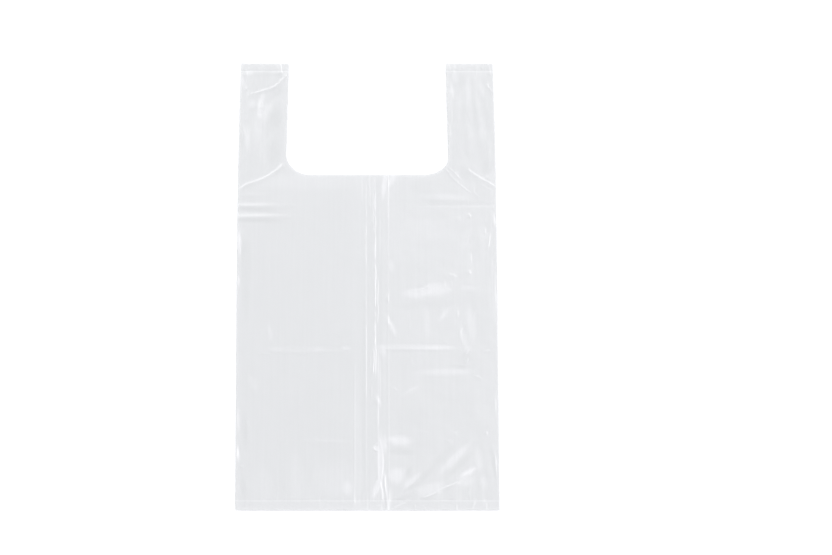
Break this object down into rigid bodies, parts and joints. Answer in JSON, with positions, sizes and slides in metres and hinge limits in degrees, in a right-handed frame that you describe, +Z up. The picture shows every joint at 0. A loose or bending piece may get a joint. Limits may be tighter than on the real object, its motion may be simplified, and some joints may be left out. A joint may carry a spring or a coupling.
{
  "type": "plastic carrier bag",
  "caption": "Flat, empty vest carrier bag of clear plastic film, with two loop handles, side gussets and a welded foot, for carrying shopping by hand.",
  "frame": {"origin": "middle of the bag's outline, on the surface that it lies on", "axes": "+Y from the welded foot towards the handle ends, +X across the bag with the front panel up, +Z up"},
  "size_m": [0.26, 0.455, 0.0024],
  "materials": {
    "film": "clear blown polythene film with a soft shine, creased from packing"
  },
  "bodies": {
    "root": {"bag": "film"}
  },
  "joints": []
}
